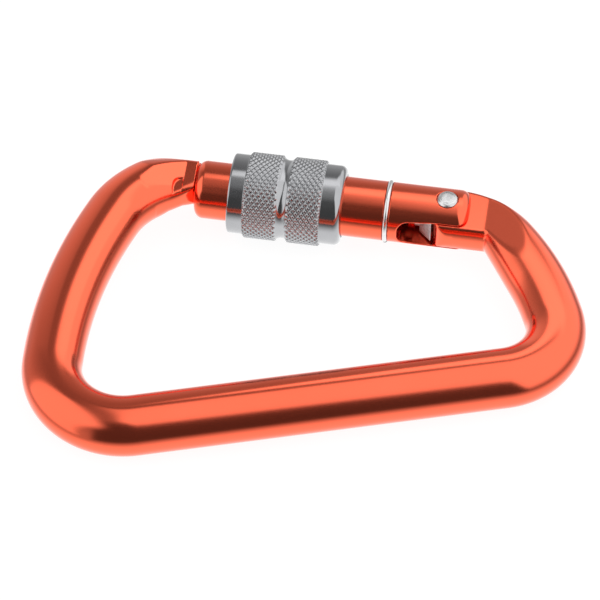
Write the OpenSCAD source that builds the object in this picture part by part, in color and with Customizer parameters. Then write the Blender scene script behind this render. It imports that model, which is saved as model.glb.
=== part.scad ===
// Screw-lock D carabiner: a forged rod body, a sprung gate on a rivet, and a knurled sleeve.
// The loop lies flat, X along its spine and +Y towards the gate. Z = 0 is the lowest point of the sleeve.

/* [Loop] */
// Diameter of the rod that the body is bent from
rod_d = 12; // [9:0.1:14]
// Straight length of the spine
spine_len = 73.6; // [60:0.1:100]
// Centre-line radius of the bend at the wide end of the spine
wide_bend_r = 14.4; // [12:0.1:20]
// Angle that the wide bend turns through
wide_bend_turn = 103.7; // [95:0.1:110]
// Centre-line radius of the gently curved limb at the wide end
wide_limb_r = 100; // [70:1:150]
// Angle that the wide limb turns through
wide_limb_turn = 23; // [18:0.1:27]
// Centre-line radius of the crown that carries the nose
crown_r = 18.8; // [16:0.1:22]
// Centre-line radius of the bend at the hinge end of the spine
hinge_bend_r = 12.5; // [10:0.1:16]
// Angle that the hinge bend turns through
hinge_bend_turn = 92.6; // [88:0.1:96]
// Centre-line radius of the limb that rises to the hinge
hinge_limb_r = 56; // [45:1:80]
// Angle that the hinge limb turns through
hinge_limb_turn = 21.6; // [18:0.1:25]
// Centre-line radius of the corner above the hinge limb
corner_r = 16; // [13:0.1:19]

/* [Nose] */
// Distance that the crown's centre line stands outside the gate's axis
nose_offset = 2.6; // [2:0.1:3.2]
// Angle to the gate's axis at which the nose's inner side runs straight
nose_inner_angle = 33; // [29:0.5:36]
// Angle back along the crown, from the gate's axis, at which the nose begins
nose_root = 48; // [45:0.5:52]
// Radius of the nose's outer side about the gate's axis
nose_r = 5.6; // [5.4:0.05:5.8]
// Half thickness of the nose at the outer end of the crease between its flats and lands
nose_flat_z = 4.4; // [4.1:0.05:4.8]
// Slope of the nose flats along the gate's axis, at which they rise to the round crown
nose_flat_slope = 18.3; // [17:0.1:20]
// Angle at which the nose flats and lands fall towards the inside of the loop
nose_cant = 9.6; // [8.5:0.1:10]
// Distance inside the gate's axis at which the nose flats have run out
nose_flat_in = 8; // [7.5:0.1:8.5]
// Length of the level land from the nose flats to the gate's end
nose_land_len = 2.6; // [2:0.1:3.5]
// Gap between the nose's land and the gate's end
nose_gap = 0.2; // [0.2:0.05:0.5]
// Half thickness of the nose's inner edge where the bevel on it runs out
nose_bevel_z = 1.3; // [1.1:0.1:1.8]
// Slope at which the bevel on the nose's inner edge deepens towards the gate
nose_bevel_slope = 9; // [7:0.5:12]
// Half thickness of the neck at the gate's mouth
neck_z = 2; // [1.8:0.05:2.4]
// Length of the neck inside the gate's mouth
neck_len = 2.8; // [2.2:0.1:3.2]
// Half thickness of the hooked head behind the neck
head_z = 3.4; // [3.1:0.05:3.7]
// Length of the hooked head
head_len = 2.1; // [1.6:0.1:2.6]

/* [Hinge] */
// Thickness of the flattened tang
tang_t = 6.4; // [5.5:0.1:7]
// Distance from the corner's end to the rivet
tang_len = 1.8; // [1.2:0.1:2.6]
// Distance from the rivet to the tang's end
tang_reach = 2.6; // [2.3:0.1:3]
// Radius of the tang's rounded end corners, the inner one of which works the plunger
lobe_r = 3; // [2.6:0.1:3.4]
// Distance from the rivet to the crease where the tang's flats turn up
crease_back = 8.2; // [7.8:0.1:9]
// Slope of the ramp that leads from the tang's flats to the round limb
ramp_slope = 17; // [14:0.5:22]
// Heading at which the hinge limb's inner side runs straight up to the corner
inner_limb_h = 103.5; // [100:0.5:108]
// Diameter of the rivet's shank
rivet_d = 3.4; // [2.8:0.1:3.8]
// Diameter of the rivet's heads
rivet_head_d = 4.3; // [4:0.1:5]
// Height of a rivet head
rivet_head_h = 0.75; // [0.6:0.05:0.9]
// Height of the straight rim of a rivet head
rivet_rim_h = 0.3; // [0.2:0.05:0.4]
// Diameter of the flat on top of a rivet head
rivet_top_d = 2.5; // [2:0.1:3]
// Height that a rivet head stands proud of the barrel
rivet_proud = 0.2; // [0.1:0.05:0.4]

/* [Gate] */
// Outer diameter of the gate barrel
barrel_d = 12.2; // [11.6:0.1:12.4]
// Outer diameter of the barrel's threaded stretch and nose end
thread_d = 11.9; // [11.2:0.1:12]
// Distance from the rivet to the start of the threaded stretch
thread_start = 20.4; // [17:0.1:22]
// Distance that the gate reaches past the point where the crown runs beside it
gate_lap = 2.3; // [1.8:0.1:2.8]
// Distance from the rivet to the forked end
fork_back = 4.6; // [4.2:0.1:5]
// Rounding of the forked end
fork_round = 2.2; // [1.5:0.1:2.6]
// Rounding of the nose end
mouth_round = 1.8; // [1.2:0.1:2.2]
// Distance from the rivet to the end of the fork's slot on the outer side
fork_depth = 3.9; // [3.6:0.1:4.6]
// Distance from the rivet to the round end of the window on the inner side
window_reach = 10.3; // [9.5:0.1:11]
// Distance from the rivet to the end of the spring's bore
bore_reach = 24; // [20:0.5:28]
// Diameter of the spring's bore
bore_d = 5; // [4.6:0.1:5.6]

/* [Spring and plunger] */
// Slope of the plunger head's inner side
plunger_slope = 43; // [38:1:48]
// Length of the plunger's wedge-shaped head
plunger_head_len = 2.6; // [2:0.1:3]
// Reach of the plunger's face towards the inside of the loop
plunger_face_in = 4.1; // [3.7:0.1:4.4]
// Reach of the plunger's face towards the outside of the loop
plunger_face_out = 1.1; // [0.8:0.1:1.2]
// Thickness of the plunger's collar, on which the spring sits
collar_t = 1; // [0.8:0.1:1.4]
// Diameter of the plunger's stem
stem_d = 2.2; // [1.8:0.1:2.6]
// Length of the plunger's stem
stem_len = 5; // [4:0.5:7]
// Diameter of the spring's wire
wire_d = 0.6; // [0.5:0.05:0.7]
// Number of turns in the spring
spring_turns = 9; // [7:1:11]

/* [Sleeve] */
// Diameter over the knurled bands
knurl_d = 17.6; // [16.8:0.1:19]
// Diameter of the plain collars
collar_d = 16.4; // [15.8:0.1:16.6]
// Length of the plain collar at the nose side
front_len = 3.3; // [2.5:0.1:4]
// Length of each knurled band
band_len = 6.9; // [5.5:0.1:7.5]
// Width of the hollow groove between the bands
cove_w = 2; // [1.6:0.1:2.6]
// Length of the rounded collar at the hinge side
tail_len = 4.2; // [3.5:0.1:5]
// Distance from the gate's end to the sleeve at rest
sleeve_back = 7.2; // [6.5:0.1:9]
// Diameter of the sleeve's bore
sleeve_bore_d = 12.7; // [12.6:0.05:13]
// Rounding of the front collar's edge
front_round = 0.9; // [0.6:0.1:1.4]
// Rounding of the hinge-side collar's edge
tail_round = 1.5; // [1:0.1:1.7]
// Bevel at the edges of the knurled bands
band_bevel = 0.35; // [0.2:0.05:0.5]

/* [Stop ring] */
// Distance from the rivet to the middle of the stop ring
ring_at = 12; // [11.8:0.1:13]
// Diameter of the stop ring's wire
ring_wire_d = 1; // [0.8:0.05:1.2]
// Height that the ring stands proud of the barrel
ring_proud = 0.36; // [0.3:0.02:0.45]
// Angle left open by the ring's split
ring_gap_angle = 14; // [8:1:30]
// Place of the split round the gate, from underneath towards the inside of the loop
ring_split_at = 55; // [0:5:355]

/* [Clearances] */
// Gap at each side of the tang in its slot
slot_clear = 0.2; // [0.15:0.05:0.35]
// Gap round the rivet in the tang
pivot_clear = 0.08; // [0.04:0.01:0.1]
// Gap round the rivet, the ring and other seated pieces
seat_clear = 0.05; // [0.03:0.01:0.1]
// Gap round the nose inside the gate's mouth
mouth_clear = 0.3; // [0.25:0.05:0.4]
// Gap between the tang and the plunger's face
plunger_clear = 0.15; // [0.1:0.05:0.25]
// Gap at each side of the plunger in the slot
plunger_side = 0.4; // [0.3:0.05:0.6]
// Gap round the plunger's collar and the spring in their bore
bore_clear = 0.3; // [0.2:0.05:0.4]

/* [Hidden] */
$fn = 96;
// A length beyond the loop's features, and the overlap of cuts past the faces that they open.
far = 40;
over = 1;
rod_r = rod_d / 2;
// Bends are a hair thinner than the straights and limbs that they join, and reach a little into them.
joint_step = 0.06;
joint_lap = 0.3;
// The nose's inner face is trimmed a little below the crown's inner edge.
nose_trim = 0.1;
// Angle that the crown runs on past the gate before the nose is cut from it.
nose_sweep = 30;
// Room behind the nose's head for its swing out of the gate's mouth.
head_travel = 0.9;
// Corners round the spring's wire, and steps in one turn of it.
wire_sides = 6;
turn_steps = 8;

// Unit vectors along a heading, and to the left of it.
function along(heading) = [cos(heading), sin(heading)];
function left_of(heading) = [-sin(heading), cos(heading)];

// Wide end, walked from the spine's left end with turns to the right.
wide_bend_c = [0, wide_bend_r];
wide_bend_h = 180 - wide_bend_turn;
wide_limb_c = wide_bend_c + (wide_bend_r - wide_limb_r) * left_of(wide_bend_h);
wide_limb_h = wide_bend_h - wide_limb_turn;
crown_c = wide_limb_c + (wide_limb_r - crown_r) * left_of(wide_limb_h);

// Hinge end, walked from the spine's right end with turns to the left.
hinge_bend_c = [spine_len, hinge_bend_r];
hinge_limb_c = hinge_bend_c - (hinge_bend_r - hinge_limb_r) * left_of(hinge_bend_turn);
corner_h = hinge_bend_turn + hinge_limb_turn;
corner_c = hinge_limb_c - (hinge_limb_r - corner_r) * left_of(corner_h);

// The gate's axis is the line that touches the corner's and the inset crown's circles.
inset_r = crown_r - nose_offset;
between = corner_c - crown_c;
gate_tilt = asin((inset_r - corner_r) / norm(between)) - atan2(between.y, between.x);
gate_h = 180 - gate_tilt;
gate_out = -left_of(gate_h);
rivet_at = corner_c + corner_r * gate_out + tang_len * along(gate_h);
crown_at = (crown_c + inset_r * gate_out - rivet_at) * along(gate_h);
gate_end = crown_at + gate_lap;

// The row's frame: the middle of the loop's box, on the level of the sleeve's underside.
top_edge_angle = acos((inset_r + nose_r) / (crown_r + rod_r));
loop_top = crown_c.y + (crown_r + rod_r) * cos(max(0, top_edge_angle - gate_tilt));
loop_middle = [(spine_len + hinge_bend_r - wide_bend_r) / 2, (loop_top - rod_r) / 2];
sleeve_r = knurl_d / 2;

// Nose, along the gate's axis from the rivet.
nose_crease = gate_end + nose_land_len;
nose_end = gate_end - neck_len - head_len;
crease_out = sqrt(pow(nose_r, 2) - pow(nose_flat_z, 2));
inner_edge = [crown_at + (crown_r - rod_r) * sin(nose_inner_angle),
              inset_r - (crown_r - rod_r) * cos(nose_inner_angle)];

// Hinge.
slot_w = tang_t + 2 * slot_clear;
barrel_r = barrel_d / 2;
rivet_seat_z = barrel_r + rivet_proud - rivet_head_h;
ramp_len = (rod_r - tang_t / 2) / tan(ramp_slope);

// Spring and plunger.
plunger_face = tang_reach + plunger_clear;
plunger_neck = plunger_face + plunger_head_len;
spring_from = plunger_neck + collar_t + wire_d / 2 + seat_clear;
spring_to = bore_reach - wire_d / 2 - seat_clear;
plunger_collar_r = bore_d / 2 - bore_clear;
spring_r = plunger_collar_r - wire_d / 2;
spring_pitch = (spring_to - spring_from) / spring_turns;

// Sleeve, along the gate's axis.
sleeve_len = front_len + 2 * band_len + cove_w + tail_len;
sleeve_front = gate_end - sleeve_back;
cove_depth = (knurl_d - collar_d) / 2;
cove_r = (pow(cove_w / 2, 2) + pow(cove_depth, 2)) / (2 * cove_depth);

// Places its children in the row's frame.
module placed() {
    translate([-loop_middle.x, -loop_middle.y, sleeve_r])
        children();
}

// Places its children on the gate: X from the rivet to the nose, Y into the loop.
module on_gate() {
    placed()
        translate([rivet_at.x, rivet_at.y, 0])
            rotate(gate_h)
                children();
}

// A solid of revolution about the gate's axis. The profile has its radius along X.
module turned() {
    rotate([0, 90, 0])
        rotate_extrude()
            children();
}

// A straight round bar along the gate's axis.
module bar(from, to, r) {
    translate([from, 0, 0])
        rotate([0, 90, 0])
            cylinder(h = to - from, r = r);
}

// A bend of the rod about a centre, from one polar angle to a larger one.
module bend(centre, r, from, to) {
    translate([centre.x, centre.y, 0])
        rotate(from)
            rotate_extrude(angle = to - from)
                translate([r, 0])
                    circle(rod_r);
}

// A bend a hair thinner than the rod, whose ends run into the stretches on each side of it.
module joining_bend(centre, r, from, to) {
    lap = joint_lap / r * 180 / PI;
    translate([centre.x, centre.y, 0])
        rotate(from - lap)
            rotate_extrude(angle = to - from + 2 * lap)
                translate([r, 0])
                    circle(rod_r - joint_step);
}

// The part of the plane on the outer side of the nose's inner face, moved inwards by a gap.
module outside_nose_face(gap) {
    translate(inner_edge)
        rotate(nose_inner_angle)
            translate([-2 * far, -2 * far]) {
                square([4 * far, 2 * far + gap]);
                translate([2 * far, 0])
                    square([2 * far, 4 * far]);
            }
}

// The neck and hooked head seen from the side, as a slab across the gate's axis.
module nose_slab() {
    half = [[nose_end, head_z], [gate_end - neck_len, head_z], [gate_end - neck_len, neck_z],
            [gate_end + nose_gap, neck_z], [gate_end + nose_gap, far], [3 * far, far]];
    other = [for (i = [len(half) - 1 : -1 : 0]) [half[i].x, -half[i].y]];
    rotate([90, 0, 0])
        linear_extrude(2 * far, center = true)
            polygon(concat(half, other));
}

// What is bevelled from the nose's inner edge, above and below.
module nose_bevel() {
    for (side = [0, 1])
        mirror([0, 0, side])
            translate([inner_edge.x, inner_edge.y, nose_bevel_z])
                rotate([0, -nose_bevel_slope, nose_inner_angle])
                    rotate([-45, 0, 0])
                        translate([-far, -far, 0])
                            cube([2 * far, 2 * far, far]);
}

// The crown's last stretch, narrowed to a nose that sits inside the gate's outline.
module nose() {
    intersection() {
        bend(crown_c, crown_r, 90 - gate_tilt - nose_sweep, 90 - gate_tilt + nose_root);
        translate([rivet_at.x, rivet_at.y, 0])
            rotate(gate_h)
                difference() {
                    intersection() {
                        nose_slab();
                        linear_extrude(2 * far, center = true)
                            outside_nose_face(-nose_trim);
                        union() {
                            bar(0, 3 * far, nose_r);
                            translate([0, 0, -far])
                                cube([3 * far, far, 2 * far]);
                        }
                    }
                    nose_bevel();
                }
    }
}

// The hinge limb and the corner above it, whose inner sides run straight and meet in a mitre.
module hinge_limb() {
    straight_from = hinge_limb_c + hinge_limb_r * along(inner_limb_h - 90);
    intersection() {
        union() {
            bend(hinge_limb_c, hinge_limb_r, hinge_bend_turn - 90, corner_h - 90);
            joining_bend(corner_c, corner_r, corner_h - 90, gate_h - 90);
        }
        union() {
            translate([straight_from.x, straight_from.y, 0])
                rotate(inner_limb_h) {
                    bar(-over, far, rod_r + joint_step);
                    translate([-2 * far, -far, -far])
                        cube([2 * far, 2 * far, 2 * far]);
                }
            translate([rivet_at.x, rivet_at.y, 0])
                rotate(gate_h)
                    bar(-far, 0, rod_r - joint_step / 2);
        }
    }
}

// The tang's outline, with a rounded corner at each side of its end.
module tang_outline() {
    start = tang_reach - lobe_r;
    translate([-far, -rod_d])
        square([far + start, 2 * rod_d]);
    translate([start - over, lobe_r - rod_r])
        square([lobe_r + over, rod_d - 2 * lobe_r]);
    for (side = [-1, 1])
        translate([start, side * (rod_r - lobe_r)])
            circle(lobe_r);
}

module tang() {
    translate([rivet_at.x, rivet_at.y, 0])
        rotate(gate_h)
            intersection() {
                bar(-tang_len, tang_reach, rod_r);
                linear_extrude(rod_d, center = true)
                    tang_outline();
            }
}

// What is cut from both faces of the rod: the nose's flats and lands, and the tang's flats with their ramps.
module flats() {
    nose_cut_back = nose_land_len + joint_lap;
    nose_cut_top = far * tan(nose_flat_slope);
    for (side = [0, 1])
        mirror([0, 0, side])
            translate([rivet_at.x, rivet_at.y, 0])
                rotate(gate_h) {
                    translate([nose_crease, -crease_out, nose_flat_z])
                        rotate([-nose_cant, 0, 0])
                            translate([0, crease_out + nose_flat_in, 0])
                                rotate([90, 0, 0])
                                    linear_extrude(far)
                                        polygon([[-nose_cut_back, 0], [0, 0], [far, nose_cut_top],
                                                 [-nose_cut_back, nose_cut_top]]);
                    rotate([90, 0, 0])
                        linear_extrude(3 * rod_d, center = true)
                            polygon([[rod_d, tang_t / 2], [-crease_back, tang_t / 2],
                                     [-crease_back - ramp_len, rod_r], [-crease_back - ramp_len, rod_d],
                                     [rod_d, rod_d]]);
                }
}

// The forged loop, from its nose round the spine to its tang.
module body() {
    color("orangered")
        placed()
            difference() {
                union() {
                    bar(0, spine_len, rod_r);
                    joining_bend(wide_bend_c, wide_bend_r, 90 + wide_bend_h, 270);
                    bend(wide_limb_c, wide_limb_r, 90 + wide_limb_h, 90 + wide_bend_h);
                    joining_bend(crown_c, crown_r, 90 - gate_tilt + nose_root, 90 + wide_limb_h);
                    nose();
                    joining_bend(hinge_bend_c, hinge_bend_r, -90, hinge_bend_turn - 90);
                    hinge_limb();
                    tang();
                }
                flats();
                translate([rivet_at.x, rivet_at.y, 0])
                    cylinder(h = 2 * rod_d, d = rivet_d + 2 * pivot_clear, center = true);
            }
}

// The barrel's half section: radius along X, distance from the rivet along Y.
module barrel_profile() {
    thread_r = thread_d / 2;
    translate([0, fork_round - fork_back])
        square([barrel_r, fork_back - fork_round + thread_start]);
    translate([0, -fork_back])
        square([barrel_r - fork_round, fork_round]);
    intersection() {
        translate([barrel_r - fork_round, fork_round - fork_back])
            circle(fork_round);
        translate([0, -fork_back])
            square([barrel_r, fork_back]);
    }
    translate([0, thread_start])
        square([thread_r, gate_end - thread_start - mouth_round]);
    translate([0, gate_end - mouth_round])
        square([thread_r - mouth_round, mouth_round]);
    translate([thread_r - mouth_round, gate_end - mouth_round])
        circle(mouth_round);
}

// The fork's slot, and the round-ended window that opens it further on the inner side.
module fork_slot() {
    translate([-far, -far, -slot_w / 2])
        cube([far + fork_depth, 2 * far, slot_w]);
    window_floor = -plunger_face_out - plunger_side;
    translate([0, window_floor, 0]) {
        translate([-far, 0, -slot_w / 2])
            cube([far + window_reach - slot_w / 2, far, slot_w]);
        translate([window_reach - slot_w / 2, 0, 0])
            rotate([-90, 0, 0])
                cylinder(h = far, d = slot_w);
    }
}

// The keyhole pocket that takes the nose, open at the gate's end and on its outer side.
module nose_pocket() {
    intersection() {
        linear_extrude(2 * far, center = true)
            outside_nose_face(mouth_clear);
        rotate([90, 0, 0])
            linear_extrude(2 * far, center = true)
                for (side = [0, 1])
                    mirror([0, side]) {
                        translate([nose_end - head_travel, -over])
                            square([head_len + head_travel + mouth_clear, head_z + mouth_clear + over]);
                        translate([nose_end, -over])
                            square([far, neck_z + mouth_clear + over]);
                    }
    }
}

// The gate's barrel: a bored rod with a fork at the hinge, a thread for the sleeve and a keyhole mouth.
module gate_barrel() {
    color("orangered")
        on_gate()
            difference() {
                turned()
                    barrel_profile();
                fork_slot();
                bar(0, bore_reach, bore_d / 2);
                cylinder(h = 2 * barrel_d, d = rivet_d + 2 * seat_clear, center = true);
                for (side = [0, 1])
                    mirror([0, 0, side])
                        translate([0, 0, rivet_seat_z])
                            cylinder(h = barrel_d, d = rivet_head_d + 2 * seat_clear);
                turned()
                    translate([barrel_r + ring_proud - ring_wire_d / 2, ring_at])
                        circle(ring_wire_d / 2 + seat_clear);
                nose_pocket();
            }
}

// The sleeve's half section: radius along X, distance back from its front face along Y.
module sleeve_profile() {
    collar_r = collar_d / 2;
    bands_len = 2 * band_len + cove_w;
    difference() {
        union() {
            square([collar_r - front_round, sleeve_len]);
            translate([0, front_round])
                square([collar_r, sleeve_len - front_round - tail_round]);
            translate([collar_r - front_round, front_round])
                circle(front_round);
            translate([collar_r - tail_round, sleeve_len - tail_round])
                circle(tail_round);
            translate([0, front_len])
                polygon([[0, 0], [sleeve_r - band_bevel, 0], [sleeve_r, band_bevel],
                         [sleeve_r, bands_len - band_bevel], [sleeve_r - band_bevel, bands_len],
                         [0, bands_len]]);
        }
        translate([collar_r - tail_round, sleeve_len - tail_round])
            difference() {
                square(tail_round + over);
                circle(tail_round);
            }
        translate([collar_r + cove_r, front_len + bands_len / 2])
            circle(cove_r);
        translate([-far, -over])
            square([far + sleeve_bore_d / 2, sleeve_len + 2 * over]);
    }
}

// The knurled collar that is screwed over the nose to lock the gate.
module locking_sleeve() {
    color("silver")
        on_gate()
            translate([sleeve_front, 0, 0])
                mirror([1, 0, 0])
                    turned()
                        sleeve_profile();
}

// The split wire ring, sprung into the barrel's groove, that stops the sleeve from running back.
module sleeve_stop_ring() {
    color("gainsboro")
        on_gate()
            translate([ring_at, 0, 0])
                rotate([0, 90, 0])
                    rotate(ring_split_at + ring_gap_angle / 2)
                        rotate_extrude(angle = 360 - ring_gap_angle)
                            translate([barrel_r + ring_proud - ring_wire_d / 2, 0])
                                circle(ring_wire_d / 2);
}

// The hinge rivet, headed at both ends.
module hinge_rivet() {
    color("gainsboro")
        on_gate() {
            cylinder(h = 2 * rivet_seat_z + rivet_head_h, d = rivet_d, center = true);
            for (side = [0, 1])
                mirror([0, 0, side])
                    translate([0, 0, rivet_seat_z + seat_clear]) {
                        cylinder(h = rivet_rim_h, d = rivet_head_d);
                        translate([0, 0, rivet_rim_h])
                            cylinder(h = rivet_head_h - rivet_rim_h, d1 = rivet_head_d, d2 = rivet_top_d);
                    }
        }
}

// A point of the spring's wire axis, at a fraction of its length.
function coil_point(t) = [
    spring_from + (spring_to - spring_from) * t,
    spring_r * cos(360 * spring_turns * t),
    spring_r * sin(360 * spring_turns * t)];

// A ring of points round the wire, square enough to the helix for its gentle pitch.
function wire_ring(t) = [
    for (i = [0 : wire_sides - 1])
        let (turn = 360 * spring_turns * t, phi = 360 * i / wire_sides,
             r = spring_r + wire_d / 2 * cos(phi))
        [coil_point(t).x + wire_d / 2 * sin(phi), r * cos(turn), r * sin(turn)]];

// The coil spring in the barrel's bore, as one wire.
module gate_spring() {
    rings = turn_steps * spring_turns;
    points = [for (k = [0 : rings]) each wire_ring(k / rings)];
    walls = [for (k = [0 : rings - 1], i = [0 : wire_sides - 1])
        let (a = k * wire_sides + i, b = k * wire_sides + (i + 1) % wire_sides)
        each [[a, b, b + wire_sides], [a, b + wire_sides, a + wire_sides]]];
    first = [for (i = [1 : wire_sides - 2]) [0, i + 1, i]];
    end = rings * wire_sides;
    last = [for (i = [1 : wire_sides - 2]) [end, end + i, end + i + 1]];
    color("gainsboro")
        on_gate()
            polyhedron(points, concat(walls, first, last));
}
echo(spring_gap = spring_pitch - wire_d);

// The plunger: a wedge-shaped head on the tang's inner lobe, a collar for the spring and a guide stem.
module spring_plunger() {
    inner_back = plunger_face_in - plunger_head_len * tan(plunger_slope);
    color("dimgray")
        on_gate() {
            linear_extrude(slot_w - 2 * plunger_side, center = true)
                polygon([[plunger_face, -plunger_face_out], [plunger_face, plunger_face_in],
                         [plunger_neck, inner_back], [plunger_neck, -plunger_face_out]]);
            bar(plunger_neck, plunger_neck + collar_t, plunger_collar_r);
            bar(plunger_neck, plunger_neck + collar_t + stem_len, stem_d / 2);
        }
}

body();
gate_barrel();
locking_sleeve();
sleeve_stop_ring();
hinge_rivet();
gate_spring();
spring_plunger();
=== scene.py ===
"""Looks of a screw-lock carabiner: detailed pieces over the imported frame, studio light and camera."""

import math

import bpy
import numpy as np
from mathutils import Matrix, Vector


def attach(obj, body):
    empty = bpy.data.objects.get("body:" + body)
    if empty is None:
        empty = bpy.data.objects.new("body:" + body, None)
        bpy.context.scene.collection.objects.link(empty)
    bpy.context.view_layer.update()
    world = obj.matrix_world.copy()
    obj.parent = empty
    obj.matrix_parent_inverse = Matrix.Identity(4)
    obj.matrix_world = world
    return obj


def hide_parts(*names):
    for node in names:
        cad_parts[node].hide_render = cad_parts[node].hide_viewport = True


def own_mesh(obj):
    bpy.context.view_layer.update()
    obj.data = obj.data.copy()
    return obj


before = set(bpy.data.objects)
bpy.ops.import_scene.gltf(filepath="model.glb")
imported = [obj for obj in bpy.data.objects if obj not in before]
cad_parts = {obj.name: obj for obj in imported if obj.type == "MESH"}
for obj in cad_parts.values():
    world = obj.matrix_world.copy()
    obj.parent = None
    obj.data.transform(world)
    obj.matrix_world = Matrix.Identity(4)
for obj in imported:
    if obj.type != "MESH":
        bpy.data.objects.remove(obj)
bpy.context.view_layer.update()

# Sizes in millimetres and angles in degrees. Most are those of the part's source.
MM = 0.001
ROD_R = 6.0
SPINE_LEN = 73.6
WIDE_BEND_R, WIDE_BEND_TURN = 14.4, 103.7
WIDE_LIMB_R, WIDE_LIMB_TURN = 100.0, 23.0
CROWN_R = 18.8
HINGE_BEND_R, HINGE_BEND_TURN = 12.5, 92.6
HINGE_LIMB_R, HINGE_LIMB_TURN = 56.0, 21.6
CORNER_R = 16.0
INNER_LIMB_H = 103.5
NOSE_OFFSET, NOSE_INNER_ANGLE, NOSE_ROOT, NOSE_R = 2.6, 33.0, 48.0, 5.6
NOSE_FLAT_Z, NOSE_FLAT_SLOPE, NOSE_CANT, NOSE_LAND_LEN = 4.4, 18.3, 9.6, 2.6
NOSE_THIN, MIDDLE_BLEND, SLOPE_SCALE = 3.0, 0.02, 0.95
EDGE_AT, UPPER_EDGE, LOWER_EDGE = (-5.5, -2.5, 0.0, 8.0), (1.0, 1.2, 2.0, 0.3), (2.6, 3.0, 3.4, 0.3)
LAND_RISE, NOSE_GAP, SCOOP_R, SCOOP_DEPTH, SCOOP_IN = 0.07, 0.2, 1.9, 0.22, 3.0
NECK_Z, NECK_LEN, HEAD_Z, HEAD_LEN, HEAD_TRAVEL = 2.0, 2.8, 3.4, 2.1, 0.9
TANG_Z, TANG_LEN, TANG_REACH, LOBE_R = 3.2, 1.8, 2.6, 3.6
CREASE_BACK, RAMP_SLOPE, MITRE_GROW, MITRE_BLEND = 8.2, 17.0, 60, (0.002, 0.1)
RIVET_R, RIVET_HEAD_R, RIVET_TOP_Z, RIVET_SEAT_Z, RIVET_SIDES = 1.7, 2.15, 6.3, 5.55, 64
BARREL_R, THREAD_R, THREAD_START, THREAD_STOP, THREAD_PITCH, THREAD_H = 6.1, 5.95, 21.6, 1.2, 1.5, 0.26
GATE_LAP, FORK_BACK, FORK_ROUND, MOUTH_ROUND = 2.3, 4.6, 2.2, 1.8
FORK_DEPTH, SLOT_Z = 3.9, 3.4
WINDOW_REACH, WINDOW_END_R, WINDOW_FLOOR, WINDOW_TAPER, TAPER_FROM = 9.5, 2.0, -1.5, 0.075, 1.5
BORE_REACH, BORE_R, MOUTH_CLEAR, SEAT_CLEAR = 24.0, 2.5, 0.3, 0.05
RING_AT, RING_WIRE_R, RING_R, RING_GAP, RING_SPLIT = 12.0, 0.5, 5.96, 14.0, 55.0
PLUNGER_FACE, PLUNGER_NECK, PLUNGER_IN, PLUNGER_OUT, PLUNGER_SLOPE = 2.72, 5.35, 4.4, 1.1, 43.0
PLUNGER_Z, PLUNGER_COLLAR_R, COLLAR_T, STEM_R, STEM_LEN = 2.8, 2.2, 1.0, 1.1, 5.0
SPRING_FROM, SPRING_TO, SPRING_R, WIRE_R, SPRING_TURNS = 6.7, 23.65, 1.9, 0.3, 9
SLEEVE_BACK, SLEEVE_LEN, SLEEVE_BORE_R = 7.2, 23.3, 6.35
KNURL_R, COLLAR_R, COVE_R, FRONT_LEN, BAND_LEN, COVE_W = 8.8, 8.2, 8.05, 3.3, 6.9, 2.0
FRONT_ROUND, TAIL_ROUND, BAND_BEVEL, FRONT_BEVEL, TAIL_BEVEL = 0.4, 1.5, 0.35, 0.35, 0.3


def along(heading):
    a = math.radians(heading)
    return np.array([math.cos(a), math.sin(a)])


def left_of(heading):
    return along(heading + 90)


# The loop's centre line: arc centres and headings, walked against the clock from nose to tang.
wide_bend_c = np.array([0.0, WIDE_BEND_R])
wide_bend_h = 180 - WIDE_BEND_TURN
wide_limb_c = wide_bend_c + (WIDE_BEND_R - WIDE_LIMB_R) * left_of(wide_bend_h)
wide_limb_h = wide_bend_h - WIDE_LIMB_TURN
crown_c = wide_limb_c + (WIDE_LIMB_R - CROWN_R) * left_of(wide_limb_h)
hinge_bend_c = np.array([SPINE_LEN, HINGE_BEND_R])
hinge_limb_c = hinge_bend_c - (HINGE_BEND_R - HINGE_LIMB_R) * left_of(HINGE_BEND_TURN)
corner_h = HINGE_BEND_TURN + HINGE_LIMB_TURN
corner_c = hinge_limb_c - (HINGE_LIMB_R - CORNER_R) * left_of(corner_h)
inset_r = CROWN_R - NOSE_OFFSET
between = corner_c - crown_c
gate_tilt = math.degrees(math.asin((inset_r - CORNER_R) / np.linalg.norm(between))
                         - math.atan2(between[1], between[0]))
gate_h = 180 - gate_tilt
gate_along, gate_in = along(gate_h), left_of(gate_h)
rivet = corner_c - CORNER_R * gate_in + TANG_LEN * gate_along
crown_at = (crown_c - inset_r * gate_in - rivet) @ gate_along
gate_end = crown_at + GATE_LAP
straight_from = hinge_limb_c + HINGE_LIMB_R * along(INNER_LIMB_H - 90)
nose_crease = gate_end + NOSE_LAND_LEN
nose_end = gate_end - NECK_LEN - HEAD_LEN
crease_out = math.sqrt(NOSE_R ** 2 - NOSE_FLAT_Z ** 2)
inner_edge = (crown_at + (CROWN_R - ROD_R) * math.sin(math.radians(NOSE_INNER_ANGLE)),
              inset_r - (CROWN_R - ROD_R) * math.cos(math.radians(NOSE_INNER_ANGLE)))
sleeve_front = gate_end - SLEEVE_BACK
top_angle = math.degrees(math.acos((inset_r + NOSE_R) / (CROWN_R + ROD_R)))
loop_top = crown_c[1] + (CROWN_R + ROD_R) * math.cos(math.radians(max(0, top_angle - gate_tilt)))
loop_middle = np.array([(SPINE_LEN + HINGE_BEND_R - WIDE_BEND_R) / 2, (loop_top - ROD_R) / 2])


def to_row(points):
    """Loop coordinates in millimetres to the row's frame in metres."""
    p = np.asarray(points, float)
    return (p + np.array([-loop_middle[0], -loop_middle[1], KNURL_R])) * MM


def gate_to_row(points):
    """Gate coordinates (from the rivet to the nose, into the loop, up) to the row's frame."""
    p = np.asarray(points, float)
    flat = rivet + p[:, :1] * gate_along + p[:, 1:2] * gate_in
    return to_row(np.column_stack([flat, p[:, 2]]))


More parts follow.
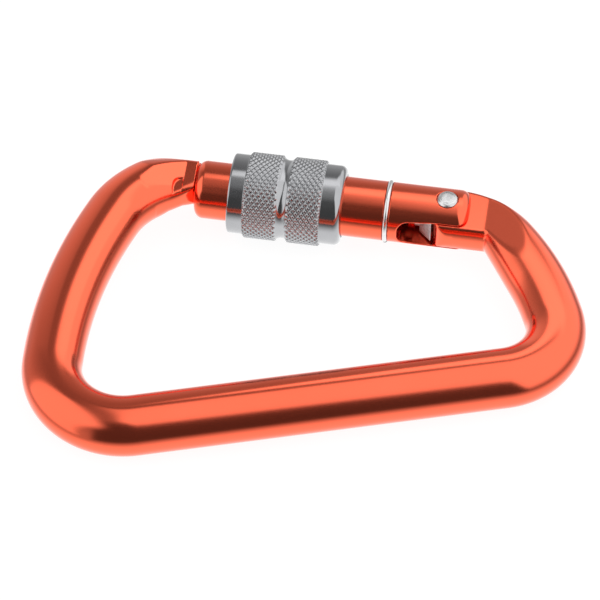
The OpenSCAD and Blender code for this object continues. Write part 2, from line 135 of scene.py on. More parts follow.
def gate_turn(vectors):
    """Turns directions in gate coordinates into the row's frame."""
    v = np.asarray(vectors, float)
    return np.column_stack([v[:, :1] * gate_along + v[:, 1:2] * gate_in, v[:, 2]])


def smax(a, b, k):
    """The larger of two fields, blended over a width k."""
    h = np.maximum(k - np.abs(a - b), 0) / k
    return np.maximum(a, b) + h * h * k / 4


def smin(a, b, k):
    return -smax(-a, -b, k)


def rounded(p, q, r):
    """Signed distance to a corner of radius r, from the distances past its two sides."""
    p, q = p + r, q + r
    return np.hypot(np.maximum(p, 0), np.maximum(q, 0)) + np.minimum(np.maximum(p, q), 0) - r


def mesh_object(name, vertices, faces, normals=None):
    """A smooth mesh object from arrays in the row's frame."""
    mesh = bpy.data.meshes.new(name)
    mesh.from_pydata([tuple(v) for v in vertices], [], [tuple(int(i) for i in f) for f in faces])
    mesh.validate()
    mesh.polygons.foreach_set("use_smooth", [True] * len(mesh.polygons))
    if normals is not None:
        mesh.normals_split_custom_set_from_vertices([tuple(n) for n in normals])
    mesh.update()
    obj = bpy.data.objects.new(name, mesh)
    bpy.context.collection.objects.link(obj)
    return obj


def tube_faces(rings, sides, closed_rings=False):
    """Quads between rings of points, wound outwards if the rings turn against the clock from the end."""
    count = rings if closed_rings else rings - 1
    i = np.arange(count)[:, None]
    j = np.arange(sides)[None, :]
    a = i * sides + j
    b = i * sides + (j + 1) % sides
    step = (i + 1) % rings * sides
    c = step + (j + 1) % sides
    d = step + j
    return np.stack([a + 0 * d, b + 0 * d, c, d], -1).reshape(-1, 4)


def capped_faces(rings, sides):
    """The quads of an open tube and a flat face at each of its ends."""
    faces = [tuple(f) for f in tube_faces(rings, sides)]
    faces.append(tuple(range(sides - 1, -1, -1)))
    faces.append(tuple(range((rings - 1) * sides, rings * sides)))
    return faces


# Body.

BODY_SIDES, HALVINGS = 176, 34


def body_stations():
    """Rows of point and tangent along the centre line, close together at the nose and the hinge."""
    points, tangents, kinds = [], [], []

    def arc(kind, centre, r, start, end, step, last=False):
        n = max(2, int(math.ceil(math.radians(end - start) * r / step)))
        for t in np.linspace(start, end, n + 1)[: None if last else -1]:
            points.append(centre + r * along(t))
            tangents.append(left_of(t))
            kinds.append(kind)

    def line(kind, start, heading, length, step, last=False):
        n = max(2, int(math.ceil(length / step)))
        for t in np.linspace(0, length, n + 1)[: None if last else -1]:
            points.append(start + t * along(heading))
            tangents.append(along(heading))
            kinds.append(kind)

    nose_from = 90 - gate_tilt + math.degrees(math.asin((nose_end - crown_at) / CROWN_R))
    nose_to = 90 - gate_tilt + NOSE_ROOT
    arc("nose", crown_c, CROWN_R, nose_from, nose_from + 38, 0.16)
    arc("nose", crown_c, CROWN_R, nose_from + 38, nose_to, 0.3)
    arc("crown", crown_c, CROWN_R, nose_to, 90 + wide_limb_h, 0.5)
    arc("crown", wide_limb_c, WIDE_LIMB_R, 90 + wide_limb_h, 90 + wide_bend_h, 0.8)
    arc("plain", wide_bend_c, WIDE_BEND_R, 90 + wide_bend_h, 270, 0.8)
    line("plain", np.zeros(2), 0, SPINE_LEN, 2.0)
    arc("plain", hinge_bend_c, HINGE_BEND_R, -90, HINGE_BEND_TURN - 90, 0.7)
    arc("hinge", hinge_limb_c, HINGE_LIMB_R, HINGE_BEND_TURN - 90, HINGE_BEND_TURN - 82, 0.8)
    arc("hinge", hinge_limb_c, HINGE_LIMB_R, HINGE_BEND_TURN - 82, corner_h - 90, 0.25)
    arc("corner", corner_c, CORNER_R, corner_h - 90, gate_h - 90, 0.16)
    line("tang", rivet - TANG_LEN * gate_along, gate_h, TANG_LEN + TANG_REACH - 0.03, 0.12, True)
    return np.array(points), np.array(tangents), np.array(kinds)


def ramp_height(a):
    """Half thickness between the tang's flats and the ramps behind their crease."""
    return smax(TANG_Z + 0 * a, TANG_Z + (-CREASE_BACK - a) * math.tan(math.radians(RAMP_SLOPE)), 0.12)


def nose_face(a, y, gap):
    """Signed distance past the nose's straight inner side, moved inwards by a gap, and the way along it."""
    t = math.radians(NOSE_INNER_ANGLE)
    da, dy = a - inner_edge[0], y - inner_edge[1]
    return math.cos(t) * dy - math.sin(t) * da - gap, math.cos(t) * da + math.sin(t) * dy


def nose_top(a, y, slope):
    """Height of a plane through the crease between the nose's flats and lands."""
    cant = math.radians(NOSE_CANT)
    return NOSE_FLAT_Z + slope / math.cos(cant) * (a - nose_crease) - math.tan(cant) * (y + crease_out)


def nose_field(f, a, y, z):
    """The rod's end cut down to flats, lands, neck and head, with a rounded inner edge.

    A half-moon pocket lies on the flats' side of the crease.
    """
    high = np.sqrt(z * z + MIDDLE_BLEND)
    none = -9.0
    thicker = (ROD_R - NOSE_R) * np.clip(1 + y / NOSE_THIN, 0, 1) ** 2
    outer = np.where(y < 0, np.hypot(y, z) - NOSE_R - thicker, none)
    f = smax(f, outer, 0.2 + 1.8 * np.clip(-y / NOSE_THIN, 0, 1))
    top_at = nose_top(a, y, np.where(a > nose_crease, math.tan(math.radians(NOSE_FLAT_SLOPE)), -LAND_RISE))
    top = np.where(a > gate_end + NOSE_GAP, (high - top_at) * SLOPE_SCALE, none)
    face, way = nose_face(a, y, 0)
    inner = np.where(way < 0, face, CROWN_R - ROD_R - np.hypot(a - crown_at, y - inset_r))
    edge = np.where(z > 0, np.interp(way, EDGE_AT, UPPER_EDGE), np.interp(way, EDGE_AT, LOWER_EDGE))
    edge = np.clip(np.minimum(edge, 0.9 * top_at), 0.3, None)
    f = smax(f, rounded(inner, top, edge), 0.3)
    neck = smin(high - NECK_Z, high - HEAD_Z - none * (a > nose_end + HEAD_LEN), 0.1)
    f = smax(f, np.where(a < gate_end + NOSE_GAP, neck, none), 0.1)
    wall = np.hypot(a - nose_crease, np.maximum(np.abs(y - SCOOP_IN) - SCOOP_R / 5, 0)) - SCOOP_R
    scoop = smax(wall, nose_top(a, y, -LAND_RISE) - SCOOP_DEPTH - high, 0.2)
    return smax(f, np.minimum(-scoop, a - nose_crease), 0.12)


def body_field(rho, p, z, kind):
    """Negative inside the body. rho is the distance from the centre line, p the point in plan."""
    rel = p - rivet
    a, y = rel @ gate_along, rel @ gate_in
    f = rho - ROD_R
    f = np.where(kind == "nose", nose_field(f, a, y, z), f)
    limb = p - straight_from
    mitre = smin(np.hypot(y, z), np.hypot(limb @ left_of(INNER_LIMB_H), z), 0.4) - ROD_R
    past_start = limb @ along(INNER_LIMB_H)
    bent = ((kind == "hinge") | (kind == "corner")) & (past_start > 0)
    f = np.where(bent, smax(f, mitre, np.clip(past_start / MITRE_GROW, *MITRE_BLEND)), f)
    at_hinge = (kind == "hinge") | (kind == "corner") | (kind == "tang")
    f = np.where(at_hinge, smax(f, np.abs(z) - ramp_height(a), 0.3), f)
    lobe = rounded(a - TANG_REACH, np.abs(y) - ROD_R, LOBE_R)
    return np.where(kind == "tang", smax(f, lobe, 0.2), f)


def make_body():
    """The loop, with each ring's points found on the field by halving."""
    points, tangents, kinds = body_stations()
    out = np.column_stack([tangents[:, 1], -tangents[:, 0]])
    phi = np.linspace(0, 2 * math.pi, BODY_SIDES, endpoint=False)
    n = len(points)
    kind = np.broadcast_to(kinds[:, None], (n, BODY_SIDES))
    c, s = np.cos(phi)[None, :], np.sin(phi)[None, :]

    def place(rho):
        p = points[:, None, :] + (rho * c)[..., None] * out[:, None, :]
        return p, rho * s

    low, high = np.zeros((n, BODY_SIDES)), np.full((n, BODY_SIDES), ROD_R + 0.2)
    for _ in range(HALVINGS):
        rho = (low + high) / 2
        p, z = place(rho)
        inside = body_field(rho, p, z, kind) < 0
        low, high = np.where(inside, rho, low), np.where(inside, high, rho)
    p, z = place(low)
    vertices = np.concatenate([p, z[..., None]], -1).reshape(-1, 3)
    return mesh_object("body_forging", to_row(vertices), capped_faces(n, BODY_SIDES))


# Gate barrel and plunger, as smooth fields in gate coordinates that are turned into meshes.

def surface_net(field, low, high, step):
    """A closed mesh of a field's zero level, with its points moved onto it and normals from its slope."""
    axes = [np.arange(lo, hi + s, s) for lo, hi, s in zip(low, high, step)]
    grid = np.stack(np.meshgrid(*axes, indexing="ij"), -1)
    value = field(grid[..., 0], grid[..., 1], grid[..., 2])
    inside = value < 0
    corners = [(i, j, k) for i in (0, 1) for j in (0, 1) for k in (0, 1)]
    size = np.array(value.shape) - 1

    def shifted(array, c):
        return array[c[0]: c[0] + size[0], c[1]: c[1] + size[1], c[2]: c[2] + size[2]]

    total = sum(shifted(inside, c).astype(int) for c in corners)
    cells = np.argwhere((total > 0) & (total < 8))
    ids = np.full(tuple(size), -1)
    ids[tuple(cells.T)] = np.arange(len(cells))
    at = {c: value[tuple((cells + c).T)] for c in corners}
    place, count = np.zeros((len(cells), 3)), np.zeros(len(cells))
    for c in corners:
        for axis in range(3):
            if c[axis]:
                continue
            d = tuple(1 if n == axis else c[n] for n in range(3))
            cross = (at[c] < 0) != (at[d] < 0)
            t = np.where(cross, at[c] / np.where(cross, at[c] - at[d], 1), 0)
            point = np.array(c, float) + t[:, None] * (np.array(d) - np.array(c))
            place += point * cross[:, None]
            count += cross
    points = np.array(low) + (cells + place / count[:, None]) * np.array(step)

    faces = []
    for axis in range(3):
        other = [n for n in range(3) if n != axis]
        first = np.take(inside, range(value.shape[axis] - 1), axis)
        second = np.take(inside, range(1, value.shape[axis]), axis)
        for flip, mask in ((False, first & ~second), (True, ~first & second)):
            edges = np.argwhere(mask)
            ring = []
            for u, v in ((-1, -1), (0, -1), (0, 0), (-1, 0)):
                cell = edges.copy()
                cell[:, other[0]] += u
                cell[:, other[1]] += v
                ring.append(ids[tuple(cell.T)])
            quad = np.stack(ring, -1)
            faces.append(quad[:, ::-1] if flip != (axis == 1) else quad)
    eps, passes, flattest, longest = 0.004, 5, 0.2, 0.12

    def slope(q):
        g = [field(*(q + d * eps).T) - field(*(q - d * eps).T) for d in np.eye(3)]
        return np.stack(g, -1) / (2 * eps)

    for _ in range(passes):
        g = slope(points)
        move = field(*points.T)[:, None] * g / np.maximum((g * g).sum(1), flattest)[:, None]
        points -= np.clip(move, -longest, longest)
    normals = slope(points)
    normals /= np.maximum(np.linalg.norm(normals, axis=1), 1e-9)[:, None]
    return points, np.concatenate(faces), normals


def thread(a, turn):
    """Height of the screw thread, fading in and out over a pitch at its ends."""
    wave = 0.5 + 0.5 * np.cos(2 * math.pi * (a / THREAD_PITCH - turn))
    fade_in = np.clip((a - THREAD_START - THREAD_PITCH) / THREAD_PITCH, 0, 1)
    fade_out = np.clip((sleeve_front - THREAD_STOP - a) / THREAD_PITCH, 0, 1)
    return THREAD_H * wave * (fade_in * fade_out)


def barrel_field(a, y, z):
    """Negative inside the gate's barrel."""
    r = np.hypot(y, z)
    high = np.abs(z)
    shoulder = np.clip((a - THREAD_START) / 0.15 + 0.5, 0, 1)
    body_r = BARREL_R + (THREAD_R - BARREL_R) * shoulder + thread(a, np.arctan2(z, y) / (2 * math.pi))
    fork_end = rounded(r - body_r, -FORK_BACK - a, FORK_ROUND)
    f = np.maximum(fork_end, rounded(r - body_r, a - gate_end, MOUTH_ROUND))
    half = SLOT_Z - WINDOW_TAPER * np.maximum(a - TAPER_FROM, 0)
    slot = np.maximum(high - half, a - FORK_DEPTH)
    window = np.maximum(rounded(a - WINDOW_REACH, high - half, WINDOW_END_R), WINDOW_FLOOR - y)
    f = smax(f, -np.minimum(slot, window), 0.4)
    f = smax(f, -np.maximum(np.maximum(r - BORE_R, a - BORE_REACH), -a), 0.15)
    f = smax(f, -(np.hypot(a, y) - RIVET_R - SEAT_CLEAR), 0.1)
    f = smax(f, -np.maximum(np.hypot(a, y) - RIVET_HEAD_R - SEAT_CLEAR, RIVET_SEAT_Z - high), 0.15)
    f = smax(f, -(np.hypot(r - RING_R, a - RING_AT) - RING_WIRE_R - SEAT_CLEAR), 0.12)
    ends = np.maximum(nose_end - HEAD_TRAVEL - a, a - nose_end - HEAD_LEN - MOUTH_CLEAR)
    room = np.maximum(high - HEAD_Z - MOUTH_CLEAR, ends)
    neck = np.maximum(high - NECK_Z - MOUTH_CLEAR, nose_end - a)
    pocket = np.maximum(np.minimum(room, neck), nose_face(a, y, MOUTH_CLEAR)[0])
    return smax(f, -pocket, 0.3)


def make_barrel():
    margin = 0.6
    low = (-FORK_BACK - margin, -BARREL_R - margin, -BARREL_R - margin)
    high = (gate_end + margin, BARREL_R + margin, BARREL_R + margin)
    points, faces, normals = surface_net(barrel_field, low, high, (0.24, 0.213, 0.213))
    return mesh_object("gate_forked_barrel", gate_to_row(points), faces, gate_turn(normals))


def plunger_field(a, y, z):
    """Negative inside the plunger: wedge-shaped head, collar and stem."""
    slant = math.radians(PLUNGER_SLOPE)
    inner = (y - PLUNGER_IN) * math.cos(slant) + (a - PLUNGER_FACE) * math.sin(slant)
    head = smax(smax(PLUNGER_FACE - a, a - PLUNGER_NECK, 0.2), smax(-PLUNGER_OUT - y, inner, 0.2), 0.2)
    head = smax(head, np.abs(z) - PLUNGER_Z, 0.25)
    r = np.hypot(y, z)
    collar = smax(r - PLUNGER_COLLAR_R, smax(PLUNGER_NECK - 0.3 - a, a - PLUNGER_NECK - COLLAR_T, 0.2), 0.2)
    tip = PLUNGER_NECK + COLLAR_T + STEM_LEN
    stem = smax(r - STEM_R, smax(PLUNGER_NECK - a, a - tip, 0.2), 0.3)
    return smin(smin(head, collar, 0.1), stem, 0.15)


def make_plunger():
    low, high = (2.4, -2.9, -3.5), (11.9, 4.7, 3.5)
    points, faces, normals = surface_net(plunger_field, low, high, (0.14, 0.14, 0.14))
    return mesh_object("spring_plunger_wedge", gate_to_row(points), faces, gate_turn(normals))


# Sleeve with its diamond knurl.

KNURLS, KNURL_PITCH, KNURL_DEPTH, KNURL_STEPS, KNURL_FLAT = 36, 1.15, 0.45, 10, 0.42


def arc_points(cx, cy, r, start, end, n):
    t = np.radians(np.linspace(start, end, n))
    return [(cx + r * math.cos(v), cy + r * math.sin(v)) for v in t]


def make_sleeve():
    """Rows of (distance back from the front face, radius, knurl share), turned about the gate's axis."""
    rows = []

    def add(points, share=0.0):
        for b, r in points:
            if not rows or abs(rows[-1][0] - b) + abs(rows[-1][1] - r) > 1e-6:
                rows.append((b, r, share))

    add([(FRONT_BEVEL, SLEEVE_BORE_R), (0.0, SLEEVE_BORE_R + FRONT_BEVEL)])
    add([(FRONT_ROUND - FRONT_ROUND * math.cos(t), COLLAR_R - FRONT_ROUND + FRONT_ROUND * math.sin(t))
         for t in np.radians(np.linspace(0, 90, 9))])
    add([(FRONT_ROUND + 0.06, COLLAR_R), (FRONT_LEN - 0.12, COLLAR_R)])
    bands = [FRONT_LEN, FRONT_LEN + BAND_LEN + COVE_W]
    cove_depth = KNURL_R - BAND_BEVEL - COVE_R
    cove_r = ((COVE_W / 2) ** 2 + cove_depth ** 2) / (2 * cove_depth)
    for n, start in enumerate(bands):
        add([(start - 0.02, COLLAR_R if n == 0 else KNURL_R - BAND_BEVEL)])
        add([(start, KNURL_R - BAND_BEVEL)])
        count = int(round((BAND_LEN - 2 * BAND_BEVEL) / (KNURL_PITCH / KNURL_STEPS)))
        for b in np.linspace(BAND_BEVEL, BAND_LEN - BAND_BEVEL, count + 1):
            add([(start + b, KNURL_R)], 1.0)
        add([(start + BAND_LEN, KNURL_R - BAND_BEVEL)])
        if n == 0:
            half = math.degrees(math.asin(COVE_W / 2 / cove_r))
            mid = start + BAND_LEN + COVE_W / 2
            arc = arc_points(mid, COVE_R + cove_r, cove_r, 270 - half, 270 + half, 21)
            add(arc[1:-1])
    tail = bands[1] + BAND_LEN
    add([(tail + 0.02, COLLAR_R), (tail + 0.12, COLLAR_R), (SLEEVE_LEN - TAIL_ROUND - 0.06, COLLAR_R)])
    add([(SLEEVE_LEN - TAIL_ROUND + TAIL_ROUND * math.sin(t),
          COLLAR_R - TAIL_ROUND + TAIL_ROUND * math.cos(t)) for t in np.radians(np.linspace(0, 90, 11))])
    add([(SLEEVE_LEN, SLEEVE_BORE_R + TAIL_BEVEL), (SLEEVE_LEN - TAIL_BEVEL, SLEEVE_BORE_R)])
    rows = np.array(rows)

    sides = KNURLS * KNURL_STEPS
    turn = np.arange(sides) / sides
    back, radius, share = rows[:, :1], rows[:, 1:2], rows[:, 2:]

    def tooth(v):
        return 1 - np.abs(2 * (v - np.floor(v)) - 1)

    u = KNURLS * turn[None, :] + back / KNURL_PITCH
    v = KNURLS * turn[None, :] - back / KNURL_PITCH
    height = np.minimum(np.minimum(tooth(u), tooth(v)), KNURL_FLAT) / KNURL_FLAT
    r = radius - share * KNURL_DEPTH * (1 - height)
    t = 2 * math.pi * turn[None, :] + 0 * back
    points = np.stack([sleeve_front - back + 0 * t, r * np.cos(t), r * np.sin(t)], -1).reshape(-1, 3)
    faces = tube_faces(len(rows), sides, closed_rings=True)[:, ::-1]
    return mesh_object("locking_sleeve_knurled", gate_to_row(points), faces)


# Stop ring, rivet and spring.

def swept(name, centres, across, up, wire_r, sides):
    """A round wire along rows of centres, with two unit vectors across it at each."""
    phi = np.linspace(0, 2 * math.pi, sides, endpoint=False)
    points = (centres[:, None, :] + wire_r * (np.cos(phi)[None, :, None] * across[:, None, :]
                                              + np.sin(phi)[None, :, None] * up[:, None, :]))
    return mesh_object(name, gate_to_row(points.reshape(-1, 3)), capped_faces(len(centres), sides))


def make_ring():
    t = np.radians(np.linspace(RING_SPLIT + RING_GAP / 2, RING_SPLIT + 360 - RING_GAP / 2, 161))
    radial = np.column_stack([0 * t, np.sin(t), -np.cos(t)])
    centres = np.column_stack([np.full_like(t, RING_AT), RING_R * radial[:, 1], RING_R * radial[:, 2]])
    axial = np.column_stack([np.ones_like(t), 0 * t, 0 * t])
    return swept("sleeve_stop_wire_ring", centres, radial, axial, RING_WIRE_R, 20)


def make_spring():
    t = np.linspace(0, 1, SPRING_TURNS * 40 + 1)
    turn = 2 * math.pi * SPRING_TURNS * t
    radial = np.column_stack([0 * t, np.cos(turn), np.sin(turn)])
    reach = SPRING_FROM + (SPRING_TO - SPRING_FROM) * t
    centres = np.column_stack([reach, SPRING_R * radial[:, 1], SPRING_R * radial[:, 2]])
    axial = np.column_stack([np.ones_like(t), 0 * t, 0 * t])
    return swept("gate_coil_spring", centres, radial, axial, WIRE_R, 12)


def make_rivet():
    """Shank, peened head with a stepped rim, and the same below, as heights and radii from the middle."""
    shank = [(0.0, RIVET_R), (5.2, RIVET_R), (5.6, RIVET_R)]
    rim = [(5.6, RIVET_HEAD_R - 0.08), (5.68, RIVET_HEAD_R), (5.82, RIVET_HEAD_R), (5.9, RIVET_HEAD_R - 0.04)]
    step = [(6.12, 1.74), (6.15, 1.68), (6.17, 1.58), (6.18, 1.44), (6.2, 1.39), (6.27, 1.33)]
    crown = [(RIVET_TOP_Z - 0.01, 1.28), (RIVET_TOP_Z, 1.2), (RIVET_TOP_Z + 0.01, 0.6)]
    half = shank + rim + step + crown
    profile = [(-h, r) for h, r in reversed(half)] + half[1:]
    t = 2 * math.pi * np.arange(RIVET_SIDES) / RIVET_SIDES
    points = np.array([[r * math.cos(v), r * math.sin(v), h] for h, r in profile for v in t])
    return mesh_object("hinge_rivet_peened", gate_to_row(points), capped_faces(len(profile), RIVET_SIDES))


# Materials.

class Nodes:
    """Short calls for building a node tree."""

    def __init__(self, tree):
        self.tree = tree
        tree.nodes.clear()

    def new(self, kind, **values):
        node = self.tree.nodes.new(kind)
        for key, value in values.items():
            setattr(node, key, value)
        return node

    def link(self, a, b):
        self.tree.links.new(a, b)

    def math(self, operation, a, b=None, c=None):
        node = self.new("ShaderNodeMath", operation=operation)
        for socket, value in zip(node.inputs, (a, b, c)):
            if value is None:
                continue
            if isinstance(value, (int, float)):
                socket.default_value = value
            else:
                self.link(value, socket)
        return node.outputs[0]

    def step(self, value, low, high):
        node = self.new("ShaderNodeMapRange", interpolation_type="SMOOTHSTEP")
        node.inputs["From Min"].default_value, node.inputs["From Max"].default_value = low, high
        self.link(value, node.inputs["Value"])
        return node.outputs[0]

    def ramp(self, value, *stops):
        node = self.new("ShaderNodeValToRGB")
        while len(node.color_ramp.elements) < len(stops):
            node.color_ramp.elements.new(0.5)
        for element, (position, colour) in zip(node.color_ramp.elements, stops):
            element.position, element.color = position, (*colour, 1)
        self.link(value, node.inputs["Fac"])
        return node.outputs["Color"]

    def noise(self, vector, scale, detail=3.0, roughness=0.55):
        node = self.new("ShaderNodeTexNoise")
        node.inputs["Scale"].default_value = scale
        node.inputs["Detail"].default_value = detail
        node.inputs["Roughness"].default_value = roughness
        self.link(vector, node.inputs["Vector"])
        return node.outputs[0]


def metal(name, dark, light, rough, coarse, fine, bump):
    """A metal whose colour and gloss vary a little over the surface, with a fine grain."""
    material = bpy.data.materials.new(name)
    material.use_nodes = True
    n = Nodes(material.node_tree)
    place = n.new("ShaderNodeTexCoord").outputs["Object"]
    broad, grain = n.noise(place, coarse), n.noise(place, fine, 4.0, 0.65)
    shader = n.new("ShaderNodeBsdfPrincipled")
    shader.inputs["Metallic"].default_value = 1.0
    n.link(n.ramp(broad, (0.3, dark), (0.7, light)), shader.inputs["Base Color"])
    spread = n.new("ShaderNodeMapRange")
    spread.inputs["To Min"].default_value, spread.inputs["To Max"].default_value = rough
    n.link(grain, spread.inputs["Value"])
    n.link(spread.outputs[0], shader.inputs["Roughness"])
    relief = n.new("ShaderNodeBump")
    relief.inputs["Strength"].default_value = bump[0]
    relief.inputs["Distance"].default_value = bump[1]
    n.link(grain, relief.inputs["Height"])
    n.link(relief.outputs[0], shader.inputs["Normal"])
    n.link(shader.outputs[0], n.new("ShaderNodeOutputMaterial").inputs["Surface"])
    return material


def grey(level):
    return (level, level, level)


ORANGE = metal("orange_anodised_aluminium", (0.93, 0.15, 0.076), (0.97, 0.16, 0.084),
               rough=(0.14, 0.2), coarse=30, fine=2600, bump=(0.02, 0.00004))
SILVER = metal("clear_anodised_aluminium", (0.36, 0.363, 0.375), (0.42, 0.423, 0.435),
               rough=(0.1, 0.17), coarse=90, fine=3000, bump=(0.05, 0.00004))
STEEL = metal("bright_drawn_steel", grey(0.66), grey(0.76),
              rough=(0.12, 0.24), coarse=300, fine=2200, bump=(0.08, 0.00006))
RIVET = metal("peened_steel", grey(0.5), grey(0.68),
              rough=(0.2, 0.36), coarse=700, fine=2200, bump=(0.3, 0.00012))
SPRING = metal("spring_wire_steel", grey(0.5), grey(0.6),
               rough=(0.25, 0.4), coarse=300, fine=2600, bump=(0.08, 0.00005))
PLUNGER = metal("dull_stamped_steel", grey(0.5), grey(0.8),
                rough=(0.5, 0.7), coarse=1500, fine=3200, bump=(0.5, 0.0002))

PIECES = [
    (make_body, "body", ["body"], "orange_anodised", ORANGE),
    (make_barrel, "gate", ["gate_barrel"], "orange_anodised", ORANGE),
    (make_sleeve, "sleeve", ["locking_sleeve"], "silver_sleeve", SILVER),
    (make_ring, "gate", ["sleeve_stop_ring"], "bright_steel", STEEL),
    (make_rivet, "gate", ["hinge_rivet"], "bright_steel", RIVET),
    (make_spring, "gate", ["gate_spring"], "spring_steel", SPRING),
    (make_plunger, "plunger", ["spring_plunger"], "plunger_steel", PLUNGER),
]
for make, body, nodes, slot, material in PIECES:
    piece = make()
    piece.data.materials.append(material)
    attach(piece, body)
    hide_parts(*nodes)
    for node in nodes:
        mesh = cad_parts[node].data
        mesh.materials.clear()
        mesh.materials.append(material)
    if "gate_spring" in nodes:
        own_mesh(piece)

# Camera at the photograph's angle.
AZIMUTH, ELEVATION, DISTANCE, FOCAL_PX, FRAME_PX = -9.2, 50.2, 0.8, 3984.0, 600
CENTRE_PX = (291.1, 284.0)
az, el = math.radians(AZIMUTH), math.radians(ELEVATION)
back = Vector((math.sin(az) * math.cos(el), -math.cos(az) * math.cos(el), math.sin(el)))
data = bpy.data.cameras.new("camera")
data.sensor_width = 36
data.lens = data.sensor_width * FOCAL_PX / FRAME_PX
data.shift_x = (FRAME_PX / 2 - CENTRE_PX[0]) / FRAME_PX
data.shift_y = (CENTRE_PX[1] - FRAME_PX / 2) / FRAME_PX
data.clip_start, data.clip_end = 0.01, 50
camera = bpy.data.objects.new("camera", data)
bpy.context.collection.objects.link(camera)
camera.location = Vector((0, 0, KNURL_R * MM)) + back * DISTANCE
camera.rotation_mode = "QUATERNION"
camera.rotation_quaternion = (-back).to_track_quat("-Z", "Y")
bpy.context.scene.camera = camera

# Floor in metres, tilted a little so that the sleeve and the spine both lie on it.
FLOOR_REACH, FLOOR_GAP, PAPER_GREY, PAPER_GLOW = 3.0, 0.0003, 0.16, 0.92
spine_under = (KNURL_R - ROD_R) * MM
spine_y = -loop_middle[1] * MM
sleeve_y = gate_to_row([(sleeve_front - SLEEVE_LEN / 2, 0, 0)])[0][1]
tilt = spine_under / (spine_y - sleeve_y)
floor_mesh = bpy.data.meshes.new("floor")
corners = [(FLOOR_REACH * u, FLOOR_REACH * v) for u, v in ((-1, -1), (1, -1), (1, 1), (-1, 1))]
floor_mesh.from_pydata([(x, y, (y - sleeve_y) * tilt - FLOOR_GAP) for x, y in corners], [], [(0, 1, 2, 3)])
floor = bpy.data.objects.new("floor", floor_mesh)
bpy.context.collection.objects.link(floor)
paper = bpy.data.materials.new("pale_paper")
paper.use_nodes = True
n = Nodes(paper.node_tree)
diffuse = n.new("ShaderNodeBsdfDiffuse")
diffuse.inputs["Color"].default_value = (*grey(PAPER_GREY), 1)
glow = n.new("ShaderNodeEmission")
glow.inputs["Strength"].default_value = PAPER_GLOW
both = n.new("ShaderNodeAddShader")
n.link(diffuse.outputs[0], both.inputs[0])
n.link(glow.outputs[0], both.inputs[1])
n.link(both.outputs[0], n.new("ShaderNodeOutputMaterial").inputs["Surface"])
floor_mesh.materials.append(paper)
floor.visible_glossy = False

# A broad light panel close above the object's right half, with soft edges, shown to reflections only.
PANEL_LEVEL, PANEL_Z = 1.6, 0.105
PANEL_ACROSS, PANEL_DEEP = (-0.1, 0.2), (0.02, 0.24)
panel_mesh = bpy.data.meshes.new("light_panel")
away = (-math.sin(az), math.cos(az))
(west, east), (near, far) = PANEL_ACROSS, PANEL_DEEP
sheet = [(west, near), (east, near), (east, far), (west, far)]
panel_mesh.from_pydata([(u * away[1] + v * away[0], v * away[1] - u * away[0], PANEL_Z) for u, v in sheet],
                       [], [(0, 1, 2, 3)])
panel = bpy.data.objects.new("light_panel", panel_mesh)
bpy.context.collection.objects.link(panel)
panel.visible_camera = panel.visible_diffuse = panel.visible_transmission = panel.visible_shadow = False
glowing = bpy.data.materials.new("light_panel")
glowing.use_nodes = True
n = Nodes(glowing.node_tree)
split = n.new("ShaderNodeSeparateXYZ")
n.link(n.new("ShaderNodeTexCoord").outputs["Object"], split.inputs[0])
across = n.math("MULTIPLY_ADD", split.outputs[0], away[1], n.math("MULTIPLY", split.outputs[1], -away[0]))
deep = n.math("MULTIPLY_ADD", split.outputs[0], away[0], n.math("MULTIPLY", split.outputs[1], away[1]))
left = n.step(n.math("MULTIPLY_ADD", deep, -0.8, across), -0.078, -0.05)
ends = n.math("MULTIPLY", n.step(deep, 0.03, 0.05), n.step(n.math("MULTIPLY", deep, -1.0), -0.19, -0.06))
right = n.step(n.math("MULTIPLY", across, -1.0), -0.14, -0.1)
cover = n.math("MULTIPLY", n.math("MULTIPLY", left, ends), right)
light = n.new("ShaderNodeEmission")
light.inputs["Strength"].default_value = PANEL_LEVEL
mix = n.new("ShaderNodeMixShader")
n.link(cover, mix.inputs[0])
n.link(n.new("ShaderNodeBsdfTransparent").outputs[0], mix.inputs[1])
n.link(light.outputs[0], mix.inputs[2])
n.link(mix.outputs[0], n.new("ShaderNodeOutputMaterial").inputs["Surface"])
panel_mesh.materials.append(glowing)

# Studio light: the main light at the right, a second one at the left and in front, a paler wall and a
# corner behind at the left, a dim room and the white table below.
WALL_LEVEL, WALL_FALL = 0.7, 0.5
CORNER_RISE, CORNER_START, CORNER_MOST = 2.2, 0.97, 1.05
ROOM_LEVEL, ROOM_TOP = 0.12, 0.27
world = bpy.data.worlds.new("studio")
bpy.context.scene.world = world
world.use_nodes = True
n = Nodes(world.node_tree)
split = n.new("ShaderNodeSeparateXYZ")
n.link(n.new("ShaderNodeTexCoord").outputs["Generated"], split.inputs[0])
x, y, z = split.outputs


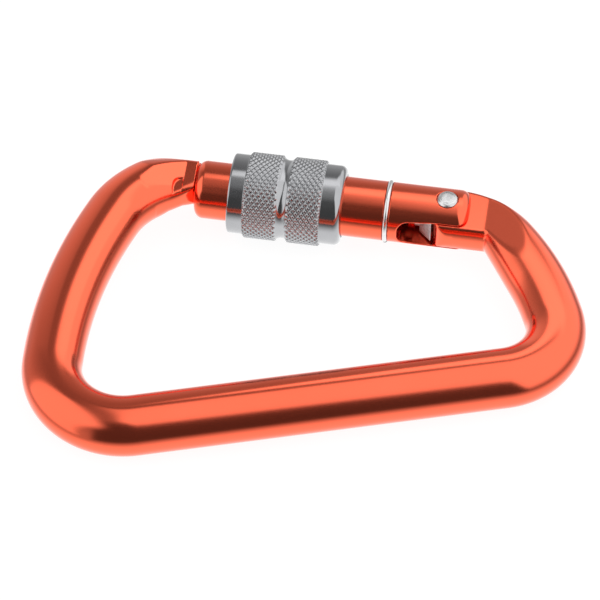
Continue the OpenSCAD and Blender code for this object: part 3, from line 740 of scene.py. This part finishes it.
def level_way(wx, wy):
    return n.math("MULTIPLY_ADD", x, wx, n.math("MULTIPLY", y, wy))


behind, side = level_way(*away), level_way(away[1], -away[0])


def past(low, high, to_side=0.0, to_back=0.0, to_top=0.0):
    """Rises from 0 to 1 across a straight edge, set by its weights to the right, the back and the top."""
    rise = n.math("MULTIPLY_ADD", behind, to_back, n.math("MULTIPLY", z, to_top))
    return n.step(n.math("MULTIPLY_ADD", side, to_side, rise), low, high)


def product(first, *others):
    for other in others:
        first = n.math("MULTIPLY", first, other)
    return first


def brightest(first, *others):
    for other in others:
        first = n.math("MAXIMUM", first, other)
    return first


main = product(past(-0.13, -0.04, to_side=1), past(-0.03, 0.07, to_side=1, to_back=0.62, to_top=0.35),
               past(-0.45, 0.1, to_top=1),
               brightest(past(0.28, 0.5, to_side=1), past(-0.55, -0.38, to_back=-1)))
second = product(past(0.2, 0.42, to_side=-1), past(-0.36, -0.24, to_back=-1), past(-0.85, -0.6, to_back=1),
                 past(-0.5, -0.2, to_top=1))
wall = product(past(-0.15, 0.15, to_side=-1.73, to_back=1), past(-0.7, -0.45, to_top=1))
wall = n.math("MULTIPLY", wall, n.math("MULTIPLY_ADD", n.math("MAXIMUM", z, 0.0), -WALL_FALL, WALL_LEVEL))
corner = product(past(0.0, 0.25, to_side=-1), past(-0.7, -0.45, to_top=1))
growing = n.math("MULTIPLY_ADD", behind, CORNER_RISE, -CORNER_START)
corner = n.math("MULTIPLY", corner, n.math("MINIMUM", growing, CORNER_MOST))
room = n.math("MULTIPLY_ADD", past(0.78, 0.97, to_top=1), ROOM_TOP, ROOM_LEVEL)
table = past(0.1, 0.7, to_top=-1)
level = brightest(n.math("MULTIPLY", brightest(main, second, table), PANEL_LEVEL), wall, corner, room)
path = n.new("ShaderNodeLightPath")
level = brightest(level, path.outputs["Is Camera Ray"])
background = n.new("ShaderNodeBackground")
n.link(level, background.inputs["Strength"])
n.link(background.outputs[0], n.new("ShaderNodeOutputWorld").inputs["Surface"])
bpy.context.scene.view_settings.view_transform = "Standard"
